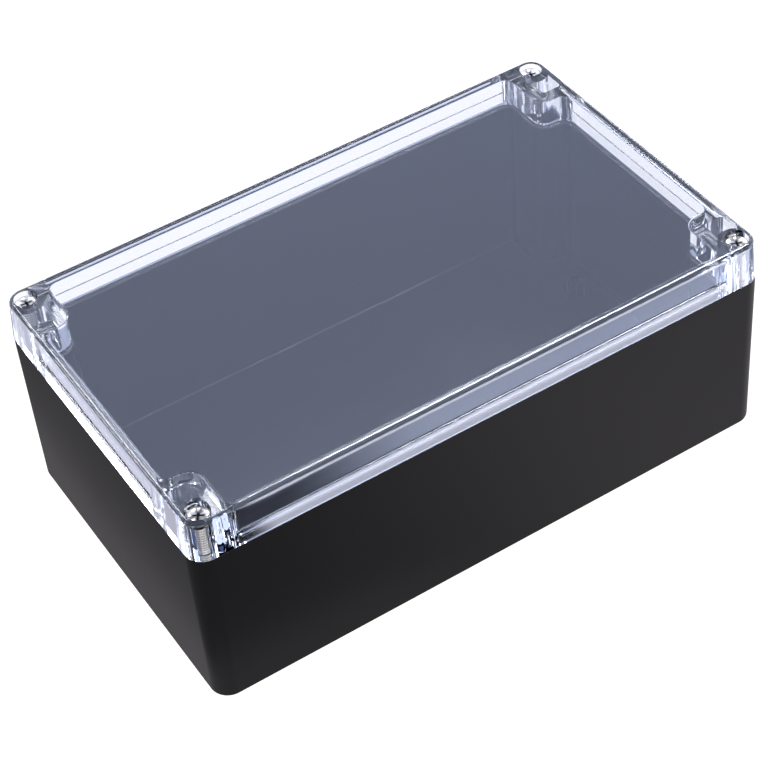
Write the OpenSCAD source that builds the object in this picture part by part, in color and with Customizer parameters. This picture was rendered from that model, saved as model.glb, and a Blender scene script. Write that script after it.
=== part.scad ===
// Sealed junction box: a moulded base with corner posts, a clear lid held down by four
// long countersunk screws, threaded inserts in the posts and a seal in the rim.
// The origin is the middle of the underside, X runs along the length and Z points up.

/* [Box] */
// Length over the outside faces
box_length = 200; // [160:1:260]
// Width over the outside faces
box_width = 120; // [100:1:180]
// Height of the base, from the underside to the parting line
base_height = 60.5; // [50:0.5:90]
// Height of the lid, from the parting line to its top face
lid_height = 14.5; // [12:0.5:22]
// Radius of the four upright outside corners
corner_radius = 6.2; // [4.5:0.1:9]

/* [Base] */
// Thickness of the floor
floor_thickness = 2.6; // [2:0.1:4]
// Radius along the bottom edges
foot_radius = 1.2; // [0.5:0.1:2]
// Reach of a corner post along the length, from the outside face
post_reach_x = 14.5; // [13.5:0.1:20]
// Reach of a corner post along the width, from the outside face
post_reach_y = 23; // [21.5:0.1:30]
// Radius of the rounded free corner of a post
post_radius = 5.5; // [4.2:0.1:7]
// Radius where a post runs into the walls
post_blend = 3; // [1:0.1:5]

/* [Rim and seal] */
// Flat outer land of the rim, which carries the lid
rim_land = 0.6; // [0.5:0.1:2]
// Width of the groove for the seal
groove_width = 2.4; // [1.5:0.1:3]
// Depth of the groove for the seal
groove_depth = 2.2; // [1.6:0.1:3]
// Width of the raised lip inside the groove
lip_width = 1.4; // [1:0.1:2]
// Height of the raised lip over the parting line
lip_height = 1; // [0.5:0.1:1.4]
// Room at each side of the seal in its groove
seal_side_room = 0.1; // [0.05:0.05:0.2]
// Air left between the lid and what it closes on
lid_gap = 0.1; // [0.05:0.05:0.2]

/* [Lid] */
// Thickness of the top plate
plate_thickness = 2.6; // [2:0.1:4]
// Thickness of the side walls above the ledge
lid_wall = 2.6; // [2:0.1:3]
// Height of the ledge over the parting line
ledge_height = 5; // [4:0.1:7]
// Set-back of the sides above the ledge, to which the towers lean in
side_setback = 1; // [0.6:0.1:1.4]
// Length of a corner tower along the length
tower_x = 14; // [12:0.1:20]
// Length of a corner tower along the width
tower_y = 24; // [18:0.1:30]
// Radius along the top edges
edge_radius = 1.4; // [0.8:0.1:2]
// Thickness of the outside walls of a tower at the parting line
tower_wall = 2.6; // [2:0.1:3.5]
// Thickness of the wall between a tower's pocket and the hollow
pocket_rib = 4; // [3.6:0.1:5]
// Radius of the upright corners of a tower's pocket
pocket_radius = 1.2; // [0.5:0.1:2]
// Radius of the solid boss round a screw
boss_radius = 6; // [5:0.1:6.5]
// Height of the wide lower part of the hollow, which clears the lip
skirt_height = 2; // [1.6:0.1:3]
// Depth of the tongue that presses on the seal
tongue_depth = 0.6; // [0.3:0.1:1]
// Room between the lid and the lip, and at each side of the tongue
rim_room = 0.3; // [0.2:0.05:0.4]

/* [Lid screws] */
// Distance of the screw axes from the outside faces
screw_inset = 6.2; // [6:0.1:7]
// Outside diameter of the thread
screw_diameter = 4; // [3:0.1:4.5]
// Length of a screw over its head
screw_length = 30; // [26:1:40]
// Diameter of the countersunk head
head_diameter = 7; // [6.5:0.1:8]
// Height of the straight rim of the head
head_rim = 0.45; // [0.2:0.05:0.8]
// Depth of the head under the lid's top face
head_sink = 2; // [0.5:0.1:3]
// Air all round a screw and its head
screw_room = 0.25; // [0.1:0.05:0.35]
// Span of the cross recess in the head
cross_span = 4.2; // [3:0.1:5]
// Width of the slots of the cross recess
cross_width = 0.9; // [0.6:0.1:1.2]
// Depth of the cross recess
cross_depth = 1.4; // [0.8:0.1:1.8]

/* [Threaded inserts] */
// Length of an insert
insert_length = 9.5; // [6:0.5:14]
// Depth of an insert under the parting line
insert_sink = 1.5; // [0:0.1:3]
// Wall of an insert outside the thread
insert_wall = 0.8; // [0.6:0.1:1]
// Depth of the waist between the two knurled barrels
insert_waist = 0.3; // [0.1:0.05:0.4]
// Air between an insert and its bore
insert_room = 0.05; // [0.02:0.01:0.1]
// Room in the post under the tip of the screw
tip_room = 2; // [1:0.5:4]

/* [Wall mounting] */
// Diameter of the well for the head of a mounting screw
well_diameter = 6.6; // [6:0.1:7]
// Diameter of the mounting hole
mount_hole = 4.4; // [3.5:0.1:5]
// Thickness left under the head of a mounting screw
mount_pad = 4; // [3:0.1:8]

/* [Board supports] */
// Distance of the board supports from the ends
support_inset_x = 13.5; // [12:0.5:60]
// Distance of the board supports from the sides
support_inset_y = 40.5; // [32:0.5:50]
// Diameter of a board support
support_diameter = 6; // [5:0.1:9]
// Height of a board support over the floor
support_height = 6; // [3:0.5:15]
// Diameter of its pilot hole
pilot_diameter = 2.8; // [2:0.1:3.5]
// Depth of its pilot hole
pilot_depth = 5; // [2:0.5:6]

/* [Hidden] */
$fn = 64;
// Overshoot of a cutter past the face it opens
cut = 1;
half_length = box_length / 2;
half_width = box_width / 2;
// The rim is as thick as the wall under it
wall = rim_land + groove_width + lip_width;
lid_top = base_height + lid_height;
head_top = lid_top - head_sink;
screw_tip = head_top - screw_length;
shank_radius = screw_diameter / 2;
head_radius = head_diameter / 2;
// A countersink of 90 degrees is as high as the head is wider than its shank
head_cone = head_radius - shank_radius;
insert_bore = shank_radius + screw_room / 2;
insert_radius = insert_bore + insert_wall;
insert_foot = base_height - insert_sink - insert_length;
// Outer edge of the groove and axis of a mounting hole, from the cavity and from the outside face
seal_reach = lip_width + groove_width;
well_inset_x = post_reach_x - seal_reach - rim_land - well_diameter / 2;
well_inset_y = post_reach_y - seal_reach - rim_land - well_diameter / 2;
// The hollow of the lid follows the cavity and steps back at its foot to clear the lip
hollow_grow = wall - side_setback - lid_wall;
skirt_grow = lip_width + rim_room;
recess_floor = base_height + ledge_height;
lid_underside = base_height + lid_gap;
// Far sides of a tower's pocket, from the outside faces
pocket_reach_x = post_reach_x - hollow_grow - pocket_rib;
pocket_reach_y = post_reach_y - hollow_grow - pocket_rib;

// Outline of a plate with round corners
module rounded_plate(length, width, radius) {
    square([length - 2 * radius, width], center = true);
    square([length, width - 2 * radius], center = true);
    for (x = [-1, 1], y = [-1, 1])
        translate([x * (length / 2 - radius), y * (width / 2 - radius)]) circle(radius);
}

// Half section of a block from its axis outwards: a side that leans in by a setback and runs
// into a rounded top edge
module soft_section(reach, height, edge, setback) {
    centre = [reach - setback - edge, height - edge];
    across = [reach, 0] - centre;
    lean = atan2(across.x, -across.y) - asin(edge / norm(across));
    touch = centre + edge * [cos(lean), sin(lean)];
    polygon([[0, 0], [reach, 0], touch, centre, [centre.x, height], [0, height]]);
    translate(centre) circle(edge);
}

// Block with round corners and a rounded top edge, standing on Z = 0
module soft_block(length, width, height, radius, edge, setback = 0) {
    for (side = [0, 1]) mirror([side, 0, 0]) {
        translate([0, width / 2 - radius, 0]) rotate([90, 0, 0])
            linear_extrude(width - 2 * radius) soft_section(length / 2, height, edge, setback);
        for (x = [0, 1]) mirror([0, x, 0])
            translate([length / 2 - radius, width / 2 - radius, 0])
                rotate_extrude(angle = 90) soft_section(radius, height, edge, setback);
    }
    for (side = [0, 1]) mirror([0, side, 0])
        translate([radius - length / 2, 0, 0]) rotate([90, 0, 90])
            linear_extrude(length - 2 * radius) soft_section(width / 2, height, edge, setback);
}

// The base's cavity round its four posts, grown outwards all round
module cavity(grow) {
    inset = wall - grow;
    post_x = post_reach_x - grow;
    post_y = post_reach_y - grow;
    blend = post_blend + grow;
    post_round = post_radius - grow;
    rounded_plate(box_length - 2 * inset, box_width - 2 * post_y, blend);
    rounded_plate(box_length - 2 * post_x, box_width - 2 * inset, blend);
    for (x = [0, 1], y = [0, 1]) mirror([x, 0]) mirror([0, y])
        translate([half_length - post_x, half_width - post_y]) difference() {
            translate([-cut, -cut]) square(post_round + cut);
            translate([post_round, post_round]) circle(post_round);
        }
}

// Band that follows the cavity, between two distances outside it
module rim_band(inner, outer) {
    difference() {
        cavity(outer);
        cavity(inner);
    }
}

// Puts a shape at one corner, or at all four
module at_corner(x, y, inset_x, inset_y) {
    translate([x * (half_length - inset_x), y * (half_width - inset_y), 0]) children();
}

module at_corners(inset_x, inset_y) {
    for (x = [-1, 1], y = [-1, 1]) at_corner(x, y, inset_x, inset_y) children();
}

// Upright cylinder between two heights
module post(bottom, top, radius) {
    translate([0, 0, bottom]) cylinder(h = top - bottom, r = radius);
}

module enclosure_base() {
    color("#262427") {
        difference() {
            translate([0, 0, base_height]) mirror([0, 0, 1])
                soft_block(box_length, box_width, base_height, corner_radius, foot_radius);
            translate([0, 0, floor_thickness]) linear_extrude(base_height) cavity(0);
            translate([0, 0, base_height - groove_depth])
                linear_extrude(groove_depth + cut) rim_band(lip_width, seal_reach);
            at_corners(screw_inset, screw_inset) {
                post(insert_foot, base_height + cut, insert_radius + insert_room);
                post(screw_tip - tip_room, base_height, shank_radius + screw_room);
            }
            at_corners(well_inset_x, well_inset_y) {
                post(mount_pad, base_height + cut, well_diameter / 2);
                post(-cut, base_height, mount_hole / 2);
            }
        }
        translate([0, 0, base_height - groove_depth])
            linear_extrude(groove_depth + lip_height) rim_band(0, lip_width);
        at_corners(support_inset_x, support_inset_y) board_support();
    }
}

// Boss on the floor with a pilot hole for a board screw
module board_support() {
    top = floor_thickness + support_height;
    difference() {
        post(floor_thickness / 2, top, support_diameter / 2);
        post(top - pilot_depth, top + cut, pilot_diameter / 2);
    }
}

// Cutter that sets one side of the lid back above its ledge, between two towers
module side_recess(length, reach) {
    translate([0, reach - side_setback, recess_floor]) linear_extrude(lid_height) {
        translate([side_setback - length / 2, 0]) square([length - 2 * side_setback, side_setback + cut]);
        translate([-length / 2, side_setback]) square([length, cut]);
        for (x = [-1, 1]) translate([x * (length / 2 - side_setback), side_setback]) circle(side_setback);
    }
}

// Outline of the pocket of a tower, between its outside walls, the boss and the rib
module tower_pocket() {
    span = [pocket_reach_x - tower_wall, pocket_reach_y - tower_wall];
    difference() {
        translate([half_length - tower_wall, half_width - tower_wall] - span / 2)
            rounded_plate(span.x, span.y, pocket_radius);
        translate([half_length - screw_inset, half_width - screw_inset]) {
            circle(boss_radius);
            translate([-boss_radius, 0]) square([2 * boss_radius, screw_inset]);
        }
    }
}

// Stepped hole for a countersunk screw, from the top face down through a tower
module screw_hole() {
    seat = head_top - head_rim;
    post(base_height - cut, seat, shank_radius + screw_room);
    translate([0, 0, seat - head_cone])
        cylinder(h = head_cone, r1 = shank_radius + screw_room, r2 = head_radius + screw_room);
    post(seat, lid_top + cut, head_radius + screw_room);
}

// Outside of the lid: leaning towers, rounded top edges and a ledge on each side
module lid_outside() {
    difference() {
        translate([0, 0, lid_underside]) soft_block(box_length, box_width, lid_top - lid_underside,
            corner_radius, edge_radius, side_setback);
        for (side = [0, 1]) {
            mirror([0, side, 0]) side_recess(box_length - 2 * tower_x, half_width);
            mirror([side, 0, 0]) rotate([0, 0, -90]) side_recess(box_width - 2 * tower_y, half_length);
        }
    }
}

module clear_lid() {
    room_height = lid_top - plate_thickness - lid_underside;
    color("#cfd8ea", 0.35) {
        difference() {
            lid_outside();
            translate([0, 0, lid_underside - cut]) {
                linear_extrude(skirt_height + cut) cavity(skirt_grow);
                linear_extrude(room_height + cut) {
                    cavity(hollow_grow);
                    for (x = [0, 1], y = [0, 1]) mirror([x, 0]) mirror([0, y]) tower_pocket();
                }
            }
            at_corners(screw_inset, screw_inset) screw_hole();
        }
        translate([0, 0, base_height - tongue_depth]) linear_extrude(tongue_depth + 2 * lid_gap)
            rim_band(skirt_grow, seal_reach - rim_room);
    }
}

module rim_seal() {
    color("#f2f2f0")
        translate([0, 0, base_height - groove_depth])
            linear_extrude(groove_depth - tongue_depth - lid_gap)
                rim_band(lip_width + seal_side_room, seal_reach - seal_side_room);
}

module lid_screw(x, y) {
    color("#c9c9c6") at_corner(x, y, screw_inset, screw_inset) difference() {
        union() {
            post(screw_tip, head_top - head_rim, shank_radius);
            translate([0, 0, head_top - head_rim - head_cone])
                cylinder(h = head_cone, r1 = shank_radius, r2 = head_radius);
            post(head_top - head_rim, head_top, head_radius);
        }
        translate([0, 0, head_top - cross_depth / 2 + cut / 2]) {
            cube([cross_span, cross_width, cross_depth + cut], center = true);
            cube([cross_width, cross_span, cross_depth + cut], center = true);
        }
    }
}

// Brass sleeve with a waist between its two barrels
module threaded_insert(x, y) {
    waist = insert_length / 5;
    color("#b89a4e") at_corner(x, y, screw_inset, screw_inset)
        translate([0, 0, insert_foot]) rotate_extrude() difference() {
            translate([insert_bore, 0]) square([insert_wall, insert_length]);
            translate([insert_radius - insert_waist, (insert_length - waist) / 2])
                square([insert_waist + cut, waist]);
        }
}

enclosure_base();
clear_lid();
rim_seal();
lid_screw(-1, -1);  // lid_screw_front_left
lid_screw(1, -1);  // lid_screw_front_right
lid_screw(-1, 1);  // lid_screw_back_left
lid_screw(1, 1);  // lid_screw_back_right
threaded_insert(-1, -1);  // insert_front_left
threaded_insert(1, -1);  // insert_front_right
threaded_insert(-1, 1);  // insert_back_left
threaded_insert(1, 1);  // insert_back_right
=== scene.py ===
"""Looks of a sealed junction box.

A satin black base, a clear lid, a white seal, nickel screws and brass inserts.
"""
import math

import bmesh
import bpy
from mathutils import Matrix, Vector


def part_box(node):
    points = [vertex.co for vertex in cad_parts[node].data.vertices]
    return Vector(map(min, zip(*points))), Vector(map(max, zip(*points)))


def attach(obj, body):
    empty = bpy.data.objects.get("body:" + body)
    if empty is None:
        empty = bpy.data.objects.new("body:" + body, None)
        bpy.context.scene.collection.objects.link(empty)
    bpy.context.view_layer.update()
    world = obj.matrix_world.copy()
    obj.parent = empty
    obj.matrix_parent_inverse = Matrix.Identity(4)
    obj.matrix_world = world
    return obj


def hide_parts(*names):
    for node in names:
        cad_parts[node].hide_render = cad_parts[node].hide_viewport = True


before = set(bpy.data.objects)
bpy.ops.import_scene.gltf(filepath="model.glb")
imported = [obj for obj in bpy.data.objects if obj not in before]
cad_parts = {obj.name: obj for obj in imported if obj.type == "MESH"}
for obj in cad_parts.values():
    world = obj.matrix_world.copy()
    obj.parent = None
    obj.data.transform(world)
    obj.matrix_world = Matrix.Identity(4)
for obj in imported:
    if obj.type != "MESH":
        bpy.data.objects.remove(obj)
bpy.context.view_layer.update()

# Sizes are in millimetres and pieces are shaped in millimetres, then brought to the frame's metres.
MM = 0.001
CORNERS = {"front_left": (-1, -1), "front_right": (1, -1), "back_left": (-1, 1), "back_right": (1, 1)}


def node_span(node, axis):
    """Lowest and highest place of a CAD node along one axis, in millimetres."""
    low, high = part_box(node)
    return low[axis] / MM, high[axis] / MM


HALF_LENGTH = node_span("enclosure_base", 0)[1]
HALF_WIDTH = node_span("enclosure_base", 1)[1]
LIP_TOP = node_span("enclosure_base", 2)[1]
TONGUE_FOOT, LID_TOP = node_span("clear_lid", 2)
SEAL_FOOT, SEAL_TOP = node_span("rim_seal", 2)
SCREW_TIP, HEAD_TOP = node_span("lid_screw_front_left", 2)
INSERT_FOOT, INSERT_TOP = node_span("insert_front_left", 2)
SCREW_X = sum(node_span("lid_screw_front_right", 0)) / 2
SCREW_Y = sum(node_span("lid_screw_back_left", 1)) / 2
HEAD_RADIUS = node_span("lid_screw_front_right", 0)[1] - SCREW_X
INSERT_RADIUS = node_span("insert_front_right", 0)[1] - SCREW_X

# Walls, posts and rim of the base
CORNER_RADIUS = 6.2
FLOOR = 2.6
FLOOR_FILLET = 0.7
FOOT_RADIUS = 1.2
WALL = 4.4
POST_REACH_X = 14.5
POST_REACH_Y = 23.0
POST_RADIUS = 5.5
POST_BLEND = 3.0
LIP_WIDTH = 1.4
LIP_HEIGHT = 1.0
LIP_ROUND = 0.8
LIP_OUTER_ROUND = 0.35
PARTING = LIP_TOP - LIP_HEIGHT
GROOVE_WIDTH = 2.4
SEAL_REACH = LIP_WIDTH + GROOVE_WIDTH
SEAL_SIDE_ROOM = 0.1
RIM_LAND = 0.6
INSERT_ROOM = 0.05
TIP_ROOM = 2.0
SCREW_ROOM = 0.25

# Wall-mounting wells and board supports
WELL_RADIUS = 3.3
MOUNT_HOLE_RADIUS = 2.2
MOUNT_PAD = 4.0
WELL_X = HALF_LENGTH - (POST_REACH_X - SEAL_REACH - RIM_LAND - WELL_RADIUS)
WELL_Y = HALF_WIDTH - (POST_REACH_Y - SEAL_REACH - RIM_LAND - WELL_RADIUS)
SUPPORT_INSET_X = 13.5
SUPPORT_INSET_Y = 40.5
SUPPORT_X = HALF_LENGTH - SUPPORT_INSET_X
SUPPORT_Y = HALF_WIDTH - SUPPORT_INSET_Y
SUPPORT_RADIUS = 3.0
SUPPORT_HEIGHT = 6.0
PILOT_RADIUS = 1.4
PILOT_DEPTH = 5.0

# Lid
LID_GAP = 0.1
LID_FOOT = PARTING + LID_GAP
FLANGE_HEIGHT = 5.0
LEDGE = PARTING + FLANGE_HEIGHT
PLATE = 2.6
LID_WALL = 2.6
SIDE_SETBACK = 1.0
HOLLOW_GROW = WALL - SIDE_SETBACK - LID_WALL
TOWER_X = 14.0
TOWER_Y = 24.0
TOWER_WALL = 2.6
BOSS_RADIUS = 6.0
POCKET_RIB = 4.0
POCKET_RADIUS = 1.2
POCKET_X = HALF_LENGTH - (POST_REACH_X - HOLLOW_GROW - POCKET_RIB)
POCKET_Y = HALF_WIDTH - (POST_REACH_Y - HOLLOW_GROW - POCKET_RIB)
TOP_RADIUS = 1.4
SKIRT_HEIGHT = 2.0
SKIRT_TOP = LID_FOOT + SKIRT_HEIGHT
LIP_ROOM = 0.3
SKIRT_GROW = LIP_WIDTH + LIP_ROOM
TONGUE_ROOM = 0.3
TONGUE_GROW = SEAL_REACH - TONGUE_ROOM
CEILING_FILLET = 0.9
LEDGE_FILLET = 0.3

# Screws, with the thread's tooth as radii and shares of the pitch
SHANK_RADIUS = 2.0
THREAD_ROOT = 1.5
THREAD_PITCH = 0.9
THREAD_TOOTH = ((THREAD_ROOT, 0), (THREAD_ROOT, 0.25), (SHANK_RADIUS, 0.56), (SHANK_RADIUS, 0.69),
                (THREAD_ROOT, 1))
THREAD_STEPS = 24
SPARE_TURNS = 3
THREAD_IN_HEAD = 0.1
NECK_RISE = 0.2
HEAD_RIM = 0.45
HEAD_EDGE = 0.15
HEAD_CONE = HEAD_RADIUS - SHANK_RADIUS
HEAD_SEAT = HEAD_TOP - HEAD_RIM
CROSS_SPAN = 4.8
CROSS_WIDTH = 0.9
CROSS_DEPTH = 1.4
CROSS_FOOT = (0.5, 0.75, 1)
CROSS_TURNS = {"front_left": -33, "front_right": -25, "back_left": -3, "back_right": -15}

# Inserts, with the waist between two shares of the length
WAIST_FROM, WAIST_TO = 0.4, 0.6
WAIST_DEPTH = 0.3
KNURL_DEPTH = 0.12
KNURL_TEETH = 30

# Smoothness of round shapes, what counts as sharp, flat or one point, and how far cutters reach past a face
ARC_STEPS = 12
SHORT_ARC_STEPS = 6
LIP_STEPS = 4
LEDGE_STEPS = 3
SEAL_STEPS = 4
ROUND_STEPS = 56
SOFT_EDGE = 0.22
SOFT_STEPS = 2
SHARP_ANGLE = math.radians(32)
FLAT_ANGLE = math.radians(0.2)
WELD = 1e-4
CUT = 1.0


def prism(outline, bottom, top):
    """Upright prism on an outline that runs counter-clockwise."""
    bm = bmesh.new()
    floor = bm.faces.new([bm.verts.new((x, y, bottom)) for x, y in outline])
    raised = bmesh.ops.extrude_face_region(bm, geom=[floor])["geom"]
    upper = [v for v in raised if isinstance(v, bmesh.types.BMVert)]
    bmesh.ops.translate(bm, verts=upper, vec=(0, 0, top - bottom))
    bmesh.ops.recalc_face_normals(bm, faces=bm.faces)
    return bm


def round_edges(bm, edges, radius, steps):
    """Rounds the given edges to a radius."""
    bmesh.ops.bevel(bm, geom=edges, offset=radius, offset_type="OFFSET", affect="EDGES", segments=steps,
                    profile=0.5, material=-1, clamp_overlap=True)


def uprights(bm, places):
    """Upright edges that stand at the given places in the plan."""
    near = 0.01
    found = []
    for edge in bm.edges:
        a, b = (v.co for v in edge.verts)
        upright = (a.xy - b.xy).length < near and abs(a.z - b.z) > near
        if upright and any((a.xy - Vector(p)).length < near for p in places):
            found.append(edge)
    return found


def level_edges(bm, height):
    """Edges that lie at one height and bound a level face there."""
    near = 0.001
    return [e for e in bm.edges if all(abs(v.co.z - height) < near for v in e.verts)
            and len(e.link_faces) == 2 and e.calc_face_angle() > SHARP_ANGLE]


def rectangle(half_x, half_y):
    return [(half_x, -half_y), (half_x, half_y), (-half_x, half_y), (-half_x, -half_y)]


def rounded_block(bottom, top):
    """The box's full outline between two heights, with round upright corners."""
    outline = rectangle(HALF_LENGTH, HALF_WIDTH)
    bm = prism(outline, bottom, top)
    round_edges(bm, uprights(bm, outline), CORNER_RADIUS, ARC_STEPS)
    return bm


def cavity_outline(grow):
    """Square-cornered outline of the cavity round the four posts, grown outwards all round."""
    wall_x, wall_y = HALF_LENGTH - WALL + grow, HALF_WIDTH - WALL + grow
    end_x, end_y = HALF_LENGTH - POST_REACH_X + grow, HALF_WIDTH - POST_REACH_Y + grow
    quarter = [(wall_x, end_y), (end_x, end_y), (end_x, wall_y)]
    outline = []
    for x, y in ((1, 1), (-1, 1), (-1, -1), (1, -1)):
        points = [(x * a, y * b) for a, b in quarter]
        outline += points if x * y > 0 else points[::-1]
    return outline


def cavity_prism(grow, bottom, top):
    """Prism of the grown cavity, rounded where it passes the posts and where they run into the walls."""
    outline = cavity_outline(grow)
    bm = prism(outline, bottom, top)
    posts = outline[1::3]
    round_edges(bm, uprights(bm, posts), POST_RADIUS - grow, ARC_STEPS)
    round_edges(bm, uprights(bm, [p for p in outline if p not in posts]), POST_BLEND + grow, ARC_STEPS)
    return bm


def turned(profile, steps=ROUND_STEPS):
    """Solid turned about the upright axis, from a profile of radii and heights."""
    bm = bmesh.new()
    verts = [bm.verts.new((radius, 0, height)) for radius, height in profile]
    line = [bm.edges.new(pair) for pair in zip(verts, verts[1:])]
    bmesh.ops.spin(bm, geom=verts + line, cent=(0, 0, 0), axis=(0, 0, 1), angle=math.tau, steps=steps,
                   use_merge=True)
    bmesh.ops.remove_doubles(bm, verts=bm.verts, dist=WELD)
    bmesh.ops.recalc_face_normals(bm, faces=bm.faces)
    return bm


def cylinder(radius, bottom, top):
    """Upright cylinder."""
    return turned([(0, bottom), (radius, bottom), (radius, top), (0, top)])


def stepped_bore(narrow, bottom, step, wide, top):
    """Upright cutter that is narrow under a step and wide over it."""
    return turned([(0, bottom), (narrow, bottom), (narrow, step), (wide, step), (wide, top), (0, top)])


def as_mesh(bm, name):
    """Mesh of a shape, which is used up."""
    mesh = bpy.data.meshes.new(name)
    bm.to_mesh(mesh)
    bm.free()
    return mesh


def linked(name, data):
    """New object in the scene."""
    obj = bpy.data.objects.new(name, data)
    bpy.context.scene.collection.objects.link(obj)
    return obj


def at_places(bm, places):
    """Several copies of a shape as one shape."""
    mesh = as_mesh(bm, "copy")
    group = bmesh.new()
    for x, y in places:
        before = len(group.verts)
        group.from_mesh(mesh)
        group.verts.ensure_lookup_table()
        bmesh.ops.translate(group, verts=group.verts[before:], vec=(x, y, 0))
    bpy.data.meshes.remove(mesh)
    return group


def four(x, y):
    return [(sx * x, sy * y) for sx, sy in CORNERS.values()]


def mirrored(bm):
    """A shape of the back right corner at all four corners."""
    group = at_places(bm, [(0, 0)] * len(CORNERS))
    share = len(group.verts) // len(CORNERS)
    for number, (x, y) in enumerate(CORNERS.values()):
        bmesh.ops.scale(group, vec=(x, y, 1), verts=group.verts[number * share:(number + 1) * share])
    bmesh.ops.recalc_face_normals(group, faces=group.faces)
    return group


def combine(bm, operation, *tools):
    """Cuts shapes from a shape or joins them to it."""
    body = linked("shape", as_mesh(bm, "shape"))
    helpers = [linked("cutter", as_mesh(tool, "cutter")) for tool in tools]
    for helper in helpers:
        modifier = body.modifiers.new("combine", "BOOLEAN")
        modifier.object = helper
        modifier.operation = operation
        modifier.solver = "EXACT"
    bpy.context.view_layer.update()
    result = bmesh.new()
    shaped = body.evaluated_get(bpy.context.evaluated_depsgraph_get())
    result.from_mesh(shaped.to_mesh())
    shaped.to_mesh_clear()
    for obj in [body] + helpers:
        mesh = obj.data
        bpy.data.objects.remove(obj)
        bpy.data.meshes.remove(mesh)
    bmesh.ops.remove_doubles(result, verts=result.verts, dist=WELD)
    return result


def merge_flat(bm):
    """Merges faces that lie in one plane."""
    bmesh.ops.dissolve_limit(bm, angle_limit=FLAT_ANGLE, verts=bm.verts, edges=bm.edges)


def soften(bm, radius, steps=SOFT_STEPS):
    """Rounds every sharp edge."""
    merge_flat(bm)
    sharp = [e for e in bm.edges if len(e.link_faces) == 2 and e.calc_face_angle() > SHARP_ANGLE]
    round_edges(bm, sharp, radius, steps)


def piece(bm, name, body, slot, material, *nodes):
    """Brings a shape into the frame as a finished piece that stands for CAD nodes."""
    bmesh.ops.scale(bm, vec=(MM, MM, MM), verts=bm.verts)
    for face in bm.faces:
        face.smooth = True
    mesh = as_mesh(bm, name)
    mesh.materials.append(material)
    obj = linked(name, mesh)
    flat = obj.modifiers.new("flat_faces", "WEIGHTED_NORMAL")
    flat.weight = 100
    flat.keep_sharp = True
    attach(obj, body)
    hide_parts(*nodes)
    return obj


def base_moulding():
    """The base: walls, posts with their bores and wells, grooved rim, raised lip and board supports."""
    block = rounded_block(0, PARTING)
    round_edges(block, level_edges(block, 0), FOOT_RADIUS, SHORT_ARC_STEPS)
    rim = combine(block, "DIFFERENCE", cavity_prism(SEAL_REACH, SEAL_FOOT, PARTING + CUT))
    lip = cavity_prism(LIP_WIDTH, PARTING / 2, LIP_TOP)
    round_edges(lip, level_edges(lip, LIP_TOP), LIP_OUTER_ROUND, LIP_STEPS)
    lipped = combine(rim, "UNION", lip)
    cavity = cavity_prism(0, FLOOR, LIP_TOP + CUT)
    round_edges(cavity, level_edges(cavity, FLOOR), FLOOR_FILLET, SHORT_ARC_STEPS)
    shell = combine(lipped, "DIFFERENCE", cavity)
    merge_flat(shell)
    round_edges(shell, level_edges(shell, LIP_TOP), LIP_ROUND, SHORT_ARC_STEPS)
    support_top = FLOOR + SUPPORT_HEIGHT
    support = cylinder(SUPPORT_RADIUS, FLOOR / 2, support_top)
    pilot = cylinder(PILOT_RADIUS, support_top - PILOT_DEPTH, support_top + CUT)
    insert_bore = stepped_bore(SHANK_RADIUS + SCREW_ROOM, SCREW_TIP - TIP_ROOM, INSERT_FOOT,
                               INSERT_RADIUS + INSERT_ROOM, PARTING + CUT)
    well = stepped_bore(MOUNT_HOLE_RADIUS, -CUT, MOUNT_PAD, WELL_RADIUS, PARTING + CUT)
    supported = combine(shell, "UNION", at_places(support, four(SUPPORT_X, SUPPORT_Y)))
    base = combine(supported, "DIFFERENCE", at_places(pilot, four(SUPPORT_X, SUPPORT_Y)),
                   at_places(insert_bore, four(SCREW_X, SCREW_Y)), at_places(well, four(WELL_X, WELL_Y)))
    soften(base, SOFT_EDGE)
    return base


def quarter_turned(bm):
    """The same shape turned by a quarter in the plan."""
    bmesh.ops.rotate(bm, verts=bm.verts, cent=(0, 0, 0), matrix=Matrix.Rotation(math.pi / 2, 3, "Z"))
    return bm


def leaning_block():
    """The lid's full outline, leaning in all round and running into a rounded top edge."""
    bm = rounded_block(LID_FOOT, LID_TOP)
    across, rise = SIDE_SETBACK + TOP_RADIUS, LID_TOP - LID_FOOT - TOP_RADIUS
    lean = math.atan2(across, rise) - math.asin(TOP_RADIUS / math.hypot(across, rise))
    shrink = 1 - (LID_TOP - LID_FOOT) * math.tan(lean) / CORNER_RADIUS
    for vert in bm.verts:
        if vert.co.z > LID_FOOT + CUT:
            centre = Vector((math.copysign(HALF_LENGTH - CORNER_RADIUS, vert.co.x),
                             math.copysign(HALF_WIDTH - CORNER_RADIUS, vert.co.y)))
            vert.co.xy = centre + (vert.co.xy - centre) * shrink
    round_edges(bm, level_edges(bm, LID_TOP), TOP_RADIUS * math.tan(math.pi / 4 - lean / 2), SHORT_ARC_STEPS)
    return bm


def side_recesses(half_span, reach):
    """Cutters along Y that set two opposite sides of the lid back above the ledge."""
    wall = reach - SIDE_SETBACK
    outer = reach + CUT
    outline = [(wall, -half_span), (outer, -half_span), (outer, half_span), (wall, half_span)]
    bm = prism(outline, LEDGE, LID_TOP + CUT)
    round_edges(bm, uprights(bm, [outline[0], outline[3]]), SIDE_SETBACK, SHORT_ARC_STEPS)
    foot = [e for e in level_edges(bm, LEDGE) if any(v.co.x < outer - CUT / 2 for v in e.verts)]
    round_edges(bm, foot, LEDGE_FILLET, LEDGE_STEPS)
    pair = at_places(bm, [(0, 0), (0, 0)])
    other = pair.verts[len(pair.verts) // 2:]
    bmesh.ops.rotate(pair, verts=other, cent=(0, 0, 0), matrix=Matrix.Rotation(math.pi, 3, "Z"))
    return pair


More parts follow.
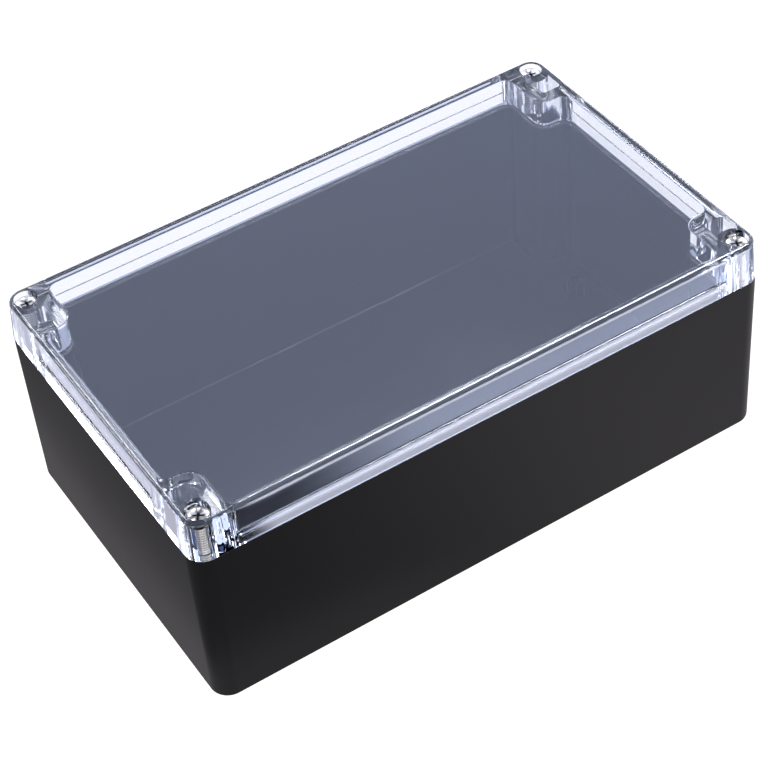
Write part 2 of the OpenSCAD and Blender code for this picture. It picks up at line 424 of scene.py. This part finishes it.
def lid_outside():
    """Outside of the lid: leaning towers, rounded top edges and set-back sides over a ledge."""
    return combine(leaning_block(), "DIFFERENCE", side_recesses(HALF_WIDTH - TOWER_Y, HALF_LENGTH),
                   quarter_turned(side_recesses(HALF_LENGTH - TOWER_X, HALF_WIDTH)))


def tower_pockets():
    """Pockets of the four towers, between their outside walls, the bosses round the screws and the ribs."""
    outer = HALF_LENGTH - TOWER_WALL
    outline = [(POCKET_X, POCKET_Y), (outer, POCKET_Y), (outer, SCREW_Y), (POCKET_X, SCREW_Y)]
    pocket = prism(outline, TONGUE_FOOT - CUT, LID_TOP - PLATE)
    round_edges(pocket, uprights(pocket, outline[:2]), POCKET_RADIUS, SHORT_ARC_STEPS)
    boss = cylinder(BOSS_RADIUS, TONGUE_FOOT - 2 * CUT, LID_TOP)
    return mirrored(combine(pocket, "DIFFERENCE", at_places(boss, [(SCREW_X, SCREW_Y)])))


def lid_moulding():
    """The clear lid: its outside, a stepped hollow, pockets in the towers, a tongue and screw holes."""
    tongued = combine(lid_outside(), "UNION", cavity_prism(TONGUE_GROW, TONGUE_FOOT, LID_FOOT + CUT))
    ceiling = LID_TOP - PLATE
    skirt = cavity_prism(SKIRT_GROW, TONGUE_FOOT - CUT, SKIRT_TOP)
    hollow = cavity_prism(HOLLOW_GROW, LID_FOOT, ceiling)
    round_edges(hollow, level_edges(hollow, ceiling), CEILING_FILLET, SHORT_ARC_STEPS)
    shank, head = SHANK_RADIUS + SCREW_ROOM, HEAD_RADIUS + SCREW_ROOM
    low, high = LID_FOOT - CUT, LID_TOP + CUT
    screw_hole = turned([(0, low), (shank, low), (shank, HEAD_SEAT - HEAD_CONE), (head, HEAD_SEAT),
                         (head, high), (0, high)])
    lid = combine(tongued, "DIFFERENCE", skirt, hollow, tower_pockets(),
                  at_places(screw_hole, four(SCREW_X, SCREW_Y)))
    soften(lid, SOFT_EDGE)
    return lid


def seal_cord():
    """White cord in the groove of the rim, rounded along its top where the tongue presses on it."""
    inner = LIP_WIDTH + SEAL_SIDE_ROOM
    outer = SEAL_REACH - SEAL_SIDE_ROOM
    cord = combine(cavity_prism(outer, SEAL_FOOT, SEAL_TOP), "DIFFERENCE",
                   cavity_prism(inner, SEAL_FOOT - CUT, SEAL_TOP + CUT))
    soften(cord, (outer - inner) / 3, SEAL_STEPS)
    return cord


def thread(bottom, top):
    """Screw thread that is cut off level at both ends."""
    near = 0.01
    turns = math.ceil((top - bottom) / THREAD_PITCH) + SPARE_TURNS
    start = bottom - SPARE_TURNS / 2 * THREAD_PITCH
    bm = bmesh.new()
    verts = [bm.verts.new((radius, 0, start + share * THREAD_PITCH)) for radius, share in THREAD_TOOTH]
    line = [bm.edges.new(pair) for pair in zip(verts, verts[1:])]
    bmesh.ops.spin(bm, geom=verts + line, cent=(0, 0, 0), axis=(0, 0, 1), angle=math.tau * turns,
                   dvec=(0, 0, THREAD_PITCH / THREAD_STEPS), steps=THREAD_STEPS * turns)
    bmesh.ops.remove_doubles(bm, verts=bm.verts, dist=near)
    for height, outward in ((bottom, -1), (top, 1)):
        everything = bm.verts[:] + bm.edges[:] + bm.faces[:]
        bmesh.ops.bisect_plane(bm, geom=everything, dist=WELD, plane_co=(0, 0, height),
                               plane_no=(0, 0, outward), clear_outer=True)
        rim = [e for e in bm.edges if e.is_boundary and all(abs(v.co.z - height) < near for v in e.verts)]
        bmesh.ops.edgeloop_fill(bm, edges=rim)
    bmesh.ops.recalc_face_normals(bm, faces=bm.faces)
    return bm


def cross_slot(angle):
    """One slot of the cross recess, narrower towards its foot."""
    bm = bmesh.new()
    bmesh.ops.create_cube(bm, size=1)
    bmesh.ops.scale(bm, vec=(CROSS_SPAN, CROSS_WIDTH, CROSS_DEPTH + CUT), verts=bm.verts)
    foot = [v for v in bm.verts if v.co.z < 0]
    bmesh.ops.scale(bm, vec=CROSS_FOOT, verts=foot)
    bmesh.ops.translate(bm, verts=bm.verts, vec=(0, 0, HEAD_TOP + (CUT - CROSS_DEPTH) / 2))
    bmesh.ops.rotate(bm, verts=bm.verts, cent=(0, 0, 0), matrix=Matrix.Rotation(angle, 3, "Z"))
    return bm


def lid_screw(x, y, turn):
    """Countersunk screw with a turned cross recess and a full thread."""
    neck = HEAD_SEAT - HEAD_CONE
    head = turned([(0, neck), (THREAD_ROOT, neck), (SHANK_RADIUS, neck + NECK_RISE), (HEAD_RADIUS, HEAD_SEAT),
                   (HEAD_RADIUS, HEAD_TOP - HEAD_EDGE), (HEAD_RADIUS - HEAD_EDGE, HEAD_TOP), (0, HEAD_TOP)])
    head = combine(head, "DIFFERENCE", cross_slot(turn), cross_slot(turn + math.pi / 2))
    bmesh.ops.recalc_face_normals(head, faces=head.faces)
    shank = as_mesh(thread(SCREW_TIP, neck + THREAD_IN_HEAD), "shank")
    head.from_mesh(shank)
    bpy.data.meshes.remove(shank)
    bmesh.ops.translate(head, verts=head.verts, vec=(x * SCREW_X, y * SCREW_Y, 0))
    return head


def insert_sleeve(x, y):
    """Brass insert with two knurled barrels and a waist between them."""
    bore = SHANK_RADIUS + SCREW_ROOM / 2
    length = INSERT_TOP - INSERT_FOOT
    waist_low, waist_high = INSERT_FOOT + WAIST_FROM * length, INSERT_FOOT + WAIST_TO * length
    waist = INSERT_RADIUS - WAIST_DEPTH
    ring = [(bore, INSERT_FOOT), (INSERT_RADIUS, INSERT_FOOT), (INSERT_RADIUS, waist_low),
            (waist, waist_low), (waist, waist_high), (INSERT_RADIUS, waist_high),
            (INSERT_RADIUS, INSERT_TOP), (bore, INSERT_TOP), (bore, INSERT_FOOT)]
    bm = turned(ring, 2 * KNURL_TEETH)
    for vert in bm.verts:
        radius = vert.co.xy.length
        tooth = round(math.atan2(vert.co.y, vert.co.x) / math.tau * 2 * KNURL_TEETH)
        if radius > INSERT_RADIUS - KNURL_DEPTH / 2 and tooth % 2:
            vert.co.xy *= (radius - KNURL_DEPTH) / radius
    bmesh.ops.translate(bm, verts=bm.verts, vec=(x * SCREW_X, y * SCREW_Y, 0))
    return bm


# Finishes: detail of the grain and of the drift, the part of the drift's range that the roughness follows,
# and the dark colour of the painted shade in the screws' recesses
GRAIN_DETAIL, DRIFT_DETAIL = 3.0, 2.0
DRIFT_SPAN = (0.3, 0.7)
RECESS_PAINTED_SHADE = (0.045, 0.045, 0.042, 1)


def fade(tree, value, start, end, low, high):
    """Value that runs from low to high between two places in millimetres along an axis."""
    ramp = tree.nodes.new("ShaderNodeMapRange")
    ramp.interpolation_type = "SMOOTHSTEP"
    ramp.inputs["From Min"].default_value, ramp.inputs["From Max"].default_value = start * MM, end * MM
    ramp.inputs["To Min"].default_value, ramp.inputs["To Max"].default_value = low, high
    tree.links.new(value, ramp.inputs["Value"])
    return ramp.outputs["Result"]


def joined(tree, operation, first, second):
    """Result of a sum on two values."""
    sums = tree.nodes.new("ShaderNodeMath")
    sums.operation = operation
    tree.links.new(first, sums.inputs[0])
    tree.links.new(second, sums.inputs[1])
    return sums.outputs["Value"]


def tinted(tree, value, colour):
    """A colour at a changing strength."""
    scaled = tree.nodes.new("ShaderNodeVectorMath")
    scaled.operation = "SCALE"
    scaled.inputs[0].default_value = colour[:3]
    tree.links.new(value, scaled.inputs["Scale"])
    return scaled.outputs["Vector"]


def mixed(tree, share, first, second):
    """Colour between two colours, each a constant or another node's output."""
    mix = tree.nodes.new("ShaderNodeMix")
    mix.data_type = "RGBA"
    tree.links.new(share, mix.inputs["Factor"])
    for name, colour in (("A", first), ("B", second)):
        if isinstance(colour, tuple):
            mix.inputs[name].default_value = colour
        else:
            tree.links.new(colour, mix.inputs[name])
    return mix.outputs["Result"]


def axes(tree, vector):
    """The three parts of a place or a direction."""
    parts = tree.nodes.new("ShaderNodeSeparateXYZ")
    tree.links.new(vector, parts.inputs["Vector"])
    return [parts.outputs[axis] for axis in "XYZ"]


def vector_step(tree, operation, vector, constant=None):
    """One step of arithmetic on a place, alone or with a constant."""
    step = tree.nodes.new("ShaderNodeVectorMath")
    step.operation = operation
    tree.links.new(vector, step.inputs[0])
    if constant:
        step.inputs[1].default_value = constant
    return step.outputs["Value" if operation == "LENGTH" else "Vector"]


def compared(tree, operation, value, limit):
    """Mask of a value that is over or under a limit."""
    test = tree.nodes.new("ShaderNodeMath")
    test.operation = operation
    test.inputs[1].default_value = limit
    tree.links.new(value, test.inputs[0])
    return test.outputs["Value"]


def material_nodes(name):
    """New node material with its shader."""
    material = bpy.data.materials.new(name)
    material.use_nodes = True
    tree = material.node_tree
    return material, tree, tree.nodes["Principled BSDF"]


def surface_grain():
    """Shared effect: fine grain of a moulded or plated surface, with a slow drift over it."""
    group = bpy.data.node_groups.new("surface_grain", "ShaderNodeTree")
    for socket in ("Grain Scale", "Drift Scale"):
        group.interface.new_socket(socket, in_out="INPUT", socket_type="NodeSocketFloat")
    for socket in ("Grain", "Drift"):
        group.interface.new_socket(socket, in_out="OUTPUT", socket_type="NodeSocketFloat")
    nodes, links = group.nodes, group.links
    given, made = nodes.new("NodeGroupInput"), nodes.new("NodeGroupOutput")
    place = nodes.new("ShaderNodeTexCoord")
    patterns = (("Grain Scale", "Grain", GRAIN_DETAIL), ("Drift Scale", "Drift", DRIFT_DETAIL))
    for scale, output, detail in patterns:
        noise = nodes.new("ShaderNodeTexNoise")
        noise.inputs["Detail"].default_value = detail
        links.new(place.outputs["Object"], noise.inputs["Vector"])
        links.new(given.outputs[scale], noise.inputs["Scale"])
        links.new(noise.outputs["Fac"], made.inputs[output])
    return group


def grained(tree, shader, group, grain_scale, drift_scale, colours, roughness, bump):
    """Gives a shader the shared grain: two colours, a fine bump, and two roughnesses if it isn't polished."""
    nodes, links = tree.nodes, tree.links
    grain = nodes.new("ShaderNodeGroup")
    grain.node_tree = group
    grain.inputs["Grain Scale"].default_value = grain_scale
    grain.inputs["Drift Scale"].default_value = drift_scale
    ramp = nodes.new("ShaderNodeValToRGB")
    for stop, colour in zip(ramp.color_ramp.elements, colours):
        stop.color = (*colour, 1)
    if roughness:
        spread = nodes.new("ShaderNodeMapRange")
        spread.inputs["From Min"].default_value, spread.inputs["From Max"].default_value = DRIFT_SPAN
        spread.inputs["To Min"].default_value, spread.inputs["To Max"].default_value = roughness
        links.new(grain.outputs["Drift"], spread.inputs["Value"])
        links.new(spread.outputs["Result"], shader.inputs["Roughness"])
    height = nodes.new("ShaderNodeBump")
    strength, depth = bump
    height.inputs["Strength"].default_value = strength
    height.inputs["Distance"].default_value = depth * MM
    links.new(grain.outputs["Drift"], ramp.inputs["Fac"])
    links.new(grain.outputs["Grain"], height.inputs["Height"])
    links.new(ramp.outputs["Color"], shader.inputs["Base Color"])
    links.new(height.outputs["Normal"], shader.inputs["Normal"])


def satin_black(group):
    """Near-black moulded plastic with a fine satin grain."""
    material, tree, shader = material_nodes("satin_black_plastic")
    grained(tree, shader, group, grain_scale=1500.0, drift_scale=25.0, roughness=(0.28, 0.31),
            bump=(0.08, 0.03), colours=((0.003, 0.0026, 0.0026), (0.0042, 0.0036, 0.0036)))
    return material


def clear_plastic(group):
    """Clear polished plastic with a faint blue tint."""
    material, tree, shader = material_nodes("clear_tinted_plastic")
    grained(tree, shader, group, grain_scale=90.0, drift_scale=12.0, roughness=None,
            bump=(0.005, 0.002), colours=((0.91, 0.925, 0.985), (0.93, 0.94, 0.99)))
    shader.inputs["Roughness"].default_value = 0.0
    shader.inputs["Transmission Weight"].default_value = 1.0
    shader.inputs["IOR"].default_value = 1.585
    return material


def white_silicone(group):
    """Soft milky white silicone of the seal, which lets some light through."""
    material, tree, shader = material_nodes("white_silicone")
    shader.inputs["Transmission Weight"].default_value = 0.6
    shader.inputs["IOR"].default_value = 1.41
    grained(tree, shader, group, grain_scale=900.0, drift_scale=40.0, roughness=(0.42, 0.55),
            bump=(0.1, 0.05), colours=((0.80, 0.80, 0.79), (0.86, 0.86, 0.85)))
    return material


def painted_recess_shade(tree):
    """Mask of the painted shade in the thread's roots and the cross recess: near a screw's axis, under the
    top of its head.
    """
    place = tree.nodes.new("ShaderNodeTexCoord").outputs["Object"]
    across = vector_step(tree, "ABSOLUTE", place)
    from_axis = vector_step(tree, "SUBTRACT", across, (SCREW_X * MM, SCREW_Y * MM, 0))
    level = vector_step(tree, "MULTIPLY", from_axis, (1, 1, 0))
    near = tree.nodes.new("ShaderNodeMapRange")
    near.inputs["From Min"].default_value = THREAD_ROOT * MM
    near.inputs["From Max"].default_value = SHANK_RADIUS * MM
    near.inputs["To Min"].default_value, near.inputs["To Max"].default_value = 1.0, 0.0
    tree.links.new(vector_step(tree, "LENGTH", level), near.inputs["Value"])
    under = compared(tree, "LESS_THAN", axes(tree, place)[2], (HEAD_TOP - HEAD_EDGE) * MM)
    return joined(tree, "MULTIPLY", near.outputs["Result"], under)


def bright_nickel(group):
    """Bright nickel plate of the screws, with painted shade in the thread's roots and in the cross recess."""
    material, tree, shader = material_nodes("bright_nickel")
    grained(tree, shader, group, grain_scale=2500.0, drift_scale=300.0, roughness=(0.32, 0.42),
            bump=(0.08, 0.02), colours=((0.62, 0.58, 0.52), (0.74, 0.70, 0.64)))
    shader.inputs["Metallic"].default_value = 1.0
    plain = shader.inputs["Base Color"].links[0].from_socket
    # Painted shade: the thread's roots and the cross recess take a dark colour in place of the nickel
    tree.links.new(mixed(tree, painted_recess_shade(tree), plain, RECESS_PAINTED_SHADE), shader.inputs["Base Color"])
    return material


def turned_brass(group):
    """Plain turned brass of the inserts."""
    material, tree, shader = material_nodes("turned_brass")
    grained(tree, shader, group, grain_scale=2000.0, drift_scale=200.0, roughness=(0.22, 0.34),
            bump=(0.08, 0.02), colours=((0.62, 0.46, 0.18), (0.75, 0.58, 0.26)))
    shader.inputs["Metallic"].default_value = 1.0
    return material


# Camera: its direction in degrees, the frame's origin as seen from it in millimetres, and its lens
CAMERA_AZIMUTH = -28.760
CAMERA_ELEVATION = 44.238
CAMERA_ROLL = -5.540
CAMERA_RIGHT, CAMERA_DOWN, CAMERA_AWAY = 4.070, 18.394, 723.190
PICTURE_PIXELS = 768
FOCAL_PIXELS = 2216.311
SENSOR = 36.0
NEAREST = 0.01

# Soft lights that face the box: place and size in metres, power in watts
LIGHTS = {"high_right": ((0.62, 0.2, 1.3), 0.6, 34), "behind_left": ((-0.4, 1.05, 1.25), 0.5, 8)}
LIGHT_AIM = (0, 0, 0.04)

# Round floor, in metres
GROUND_RADIUS = 3.0
GROUND_SIDES = 96
GROUND_DROP = 0.0002
GROUND_COLOUR = (0.005, 0.005, 0.005, 1)
GROUND_ROUGHNESS = 0.9

# Glow of the surroundings and the floor. The eye sees SURROUNDINGS and FLOOR_GLOW. INNER_GLOW is the floor in
# reflections within one wall of the lid. The DEEP values are the sky and the floor as the inside mirrors them
# through the lid, and that sky is brighter in front. SATIN and LEFT are the floor in satin reflections.
# STREAK, BESIDE, AHEAD and POLISHED are the floor in polished ones, and there FAR takes over away from the
# box. The values that end in ALONG, ACROSS or OUTWARDS are two places along an axis in millimetres and the
# strengths there. DEEP_SKY_TURN is the same in thousandths of a direction.
SURROUNDINGS = (0.93, 1.06, 1.46, 1)
DEEP_SKY = (0.4, 0.44, 0.56, 1)
DEEP_SKY_IN_FRONT, DEEP_SKY_TURN = (2.6, 2.6, 2.5, 1), (-650, -450, 1, 0)
FLOOR_GLOW = (1.25, 1.22, 1.16, 1)
INNER_GLOW = (0.06, 0.1, 0.24, 1)
DEEP_GLOW = (0.85, 0.86, 0.92, 1)
SURFACES_OF_A_WALL = 2
SATIN_LIGHT = (1.0, 0.95, 1.0)
SATIN_ALONG = (-80, 80, 0.12, 0.44)
LEFT_OUTWARDS, LEFT_ALONG = (-104, -124, 0.29, 0.01), (-100, -62, 0, 1)
STREAK_LIGHT = (1.0, 1.03, 1.25)
BESIDE_OUTWARDS, BESIDE_ALONG = (-112, -118, 0, 2), (-80, -40, 0, 1)
AHEAD_OUTWARDS, AHEAD_ALONG = (-122, -138, 0, 7.2), (-56, -44, 0, 1)
POLISHED_ALONG = (-48, 20, 0, 3.35)
FAR_LIGHT = (0.9, 0.95, 1.1, 1)
FAR_ALONG, FAR_ACROSS = (165, 200, 0, 1), (150, 190, 0, 1)


def studio_camera():
    """Camera at the picture's viewing angle."""
    azimuth, elevation, roll = (math.radians(a) for a in (CAMERA_AZIMUTH, CAMERA_ELEVATION, CAMERA_ROLL))
    back = Vector((math.sin(azimuth) * math.cos(elevation), -math.cos(azimuth) * math.cos(elevation),
                   math.sin(elevation)))
    level = Vector((math.cos(azimuth), math.sin(azimuth), 0))
    rise = back.cross(level)
    right = math.cos(roll) * level + math.sin(roll) * rise
    up = math.cos(roll) * rise - math.sin(roll) * level
    place = -(CAMERA_RIGHT * right - CAMERA_DOWN * up - CAMERA_AWAY * back) * MM
    turn = Matrix((right, up, back)).transposed()
    data = bpy.data.cameras.new("camera")
    data.sensor_width = SENSOR
    data.lens = FOCAL_PIXELS / PICTURE_PIXELS * SENSOR
    data.clip_start = NEAREST
    camera = linked("camera", data)
    camera.matrix_world = Matrix.Translation(place) @ turn.to_4x4()
    bpy.context.scene.camera = camera


def past_a_wall(tree, path):
    """Mask of light that has come through more than one wall of the lid."""
    return compared(tree, "GREATER_THAN", path.outputs["Transmission Depth"], SURFACES_OF_A_WALL + 0.5)


def floor_light(tree):
    """Glow of the floor: white to the eye, dim in satin reflections and streaked in polished ones."""
    place = tree.nodes.new("ShaderNodeTexCoord").outputs["Object"]
    x, y = axes(tree, place)[:2]
    along, across = axes(tree, vector_step(tree, "ABSOLUTE", place))[:2]
    far = joined(tree, "MAXIMUM", fade(tree, along, *FAR_ALONG), fade(tree, across, *FAR_ACROSS))
    left = joined(tree, "MULTIPLY", fade(tree, x, *LEFT_OUTWARDS), fade(tree, y, *LEFT_ALONG))
    satin = joined(tree, "MAXIMUM", left, fade(tree, x, *SATIN_ALONG))
    beside = joined(tree, "MULTIPLY", fade(tree, x, *BESIDE_OUTWARDS), fade(tree, y, *BESIDE_ALONG))
    ahead = joined(tree, "MULTIPLY", fade(tree, y, *AHEAD_OUTWARDS), fade(tree, x, *AHEAD_ALONG))
    polished = tree.nodes.new("ShaderNodeVectorMath")
    polished.operation = "MAXIMUM"
    streaks = tinted(tree, joined(tree, "MAXIMUM", beside, ahead), STREAK_LIGHT)
    tree.links.new(streaks, polished.inputs[0])
    tree.links.new(tinted(tree, fade(tree, x, *POLISHED_ALONG), SURROUNDINGS), polished.inputs[1])
    path = tree.nodes.new("ShaderNodeLightPath")
    reflected = joined(tree, "SUBTRACT", path.outputs["Is Glossy Ray"], path.outputs["Is Transmission Ray"])
    mirror = mixed(tree, path.outputs["Is Singular Ray"], tinted(tree, satin, SATIN_LIGHT),
                   mixed(tree, far, polished.outputs["Vector"], FAR_LIGHT))
    inner = mixed(tree, past_a_wall(tree, path), INNER_GLOW, DEEP_GLOW)
    glow = mixed(tree, path.outputs["Glossy Depth"], FLOOR_GLOW, inner)
    return mixed(tree, reflected, glow, mirror)


def studio_floor():
    """Plain pale floor under the box, which glows evenly so that it hardly takes shadows."""
    bm = bmesh.new()
    bmesh.ops.create_circle(bm, cap_ends=True, segments=GROUND_SIDES, radius=GROUND_RADIUS)
    bmesh.ops.translate(bm, verts=bm.verts, vec=(0, 0, -GROUND_DROP))
    mesh = as_mesh(bm, "floor")
    material, tree, shader = material_nodes("pale_floor")
    shader.inputs["Base Color"].default_value = GROUND_COLOUR
    shader.inputs["Roughness"].default_value = GROUND_ROUGHNESS
    shader.inputs["Specular IOR Level"].default_value = 0.0
    shader.inputs["Emission Strength"].default_value = 1.0
    tree.links.new(floor_light(tree), shader.inputs["Emission Color"])
    mesh.materials.append(material)
    floor = linked("floor", mesh)


def softbox(name, place, size, power):
    """Square area light that faces the box."""
    data = bpy.data.lights.new(name, "AREA")
    data.shape = "SQUARE"
    data.size = size
    data.energy = power
    light = linked(name, data)
    light.location = place
    light.rotation_euler = (Vector(LIGHT_AIM) - Vector(place)).to_track_quat("-Z", "Y").to_euler()


def studio_light():
    """Soft cool surroundings with a broad light high at the right and one behind at the left."""
    world = bpy.data.worlds.new("studio")
    world.use_nodes = True
    tree = world.node_tree
    path = tree.nodes.new("ShaderNodeLightPath")
    mirrored_inside = joined(tree, "MULTIPLY", path.outputs["Glossy Depth"], past_a_wall(tree, path))
    direction = tree.nodes.new("ShaderNodeTexCoord").outputs["Generated"]
    in_front = fade(tree, axes(tree, direction)[1], *DEEP_SKY_TURN)
    deep_sky = mixed(tree, in_front, DEEP_SKY, DEEP_SKY_IN_FRONT)
    sky = mixed(tree, mirrored_inside, SURROUNDINGS, deep_sky)
    tree.links.new(sky, tree.nodes["Background"].inputs["Color"])
    tree.nodes["Background"].inputs["Strength"].default_value = 1.0
    bpy.context.scene.world = world
    for name, (place, size, power) in LIGHTS.items():
        softbox(name, place, size, power)
    bpy.context.scene.view_settings.view_transform = "Standard"


grain = surface_grain()
black, clear, white = satin_black(grain), clear_plastic(grain), white_silicone(grain)
nickel, brass = bright_nickel(grain), turned_brass(grain)

piece(base_moulding(), "base_moulding", "base", "base_plastic", black, "enclosure_base")
piece(lid_moulding(), "lid_moulding", "lid", "clear_plastic", clear, "clear_lid")
piece(seal_cord(), "seal_cord", "base", "seal_rubber", white, "rim_seal")
for corner, (x, y) in CORNERS.items():
    turn = math.radians(CROSS_TURNS[corner])
    piece(lid_screw(x, y, turn), f"screw_{corner}", f"screw_{corner}", "screw_steel", nickel,
          f"lid_screw_{corner}")
    piece(insert_sleeve(x, y), f"sleeve_{corner}", "base", "insert_brass", brass, f"insert_{corner}")

studio_camera()
studio_floor()
studio_light()
